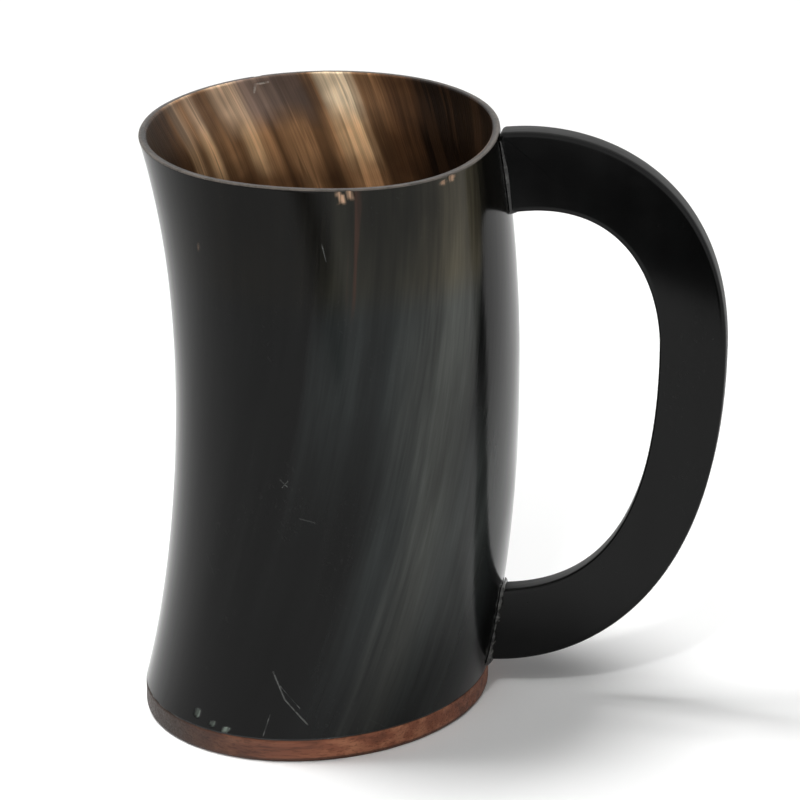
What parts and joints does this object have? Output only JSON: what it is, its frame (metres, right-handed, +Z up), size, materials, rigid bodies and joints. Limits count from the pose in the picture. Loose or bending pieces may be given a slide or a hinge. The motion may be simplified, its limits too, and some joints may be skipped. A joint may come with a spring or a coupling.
{
  "type": "horn beer mug",
  "caption": "Beer mug made from a bowed length of dark polished horn on a wooden base, with a flat D-shaped horn handle glued to its side.",
  "frame": {"origin": "middle of the flat underside of the wooden base", "axes": "+Z up towards the rim, +X towards the handle, +Y across the handle plate"},
  "size_m": [0.1481, 0.0968, 0.1529],
  "materials": {
    "polished_horn": "polished dark horn, streaked inside",
    "sawn_horn": "flat sawn and buffed black horn, sanded grey at the edges",
    "oiled_wood": "oiled reddish brown hardwood",
    "clear_glue": "hardened clear glue",
    "amber_resin": "poured sealing resin",
    "steel_pin": "plain drawn steel"
  },
  "bodies": {
    "root": {"horn_body": "polished_horn", "wooden_base": "oiled_wood", "base_glue": "clear_glue", "floor_seal": "amber_resin", "handle": "sawn_horn", "upper_glue_bead": "clear_glue", "lower_glue_bead": "clear_glue", "upper_handle_pin": "steel_pin", "lower_handle_pin": "steel_pin"}
  },
  "joints": []
}
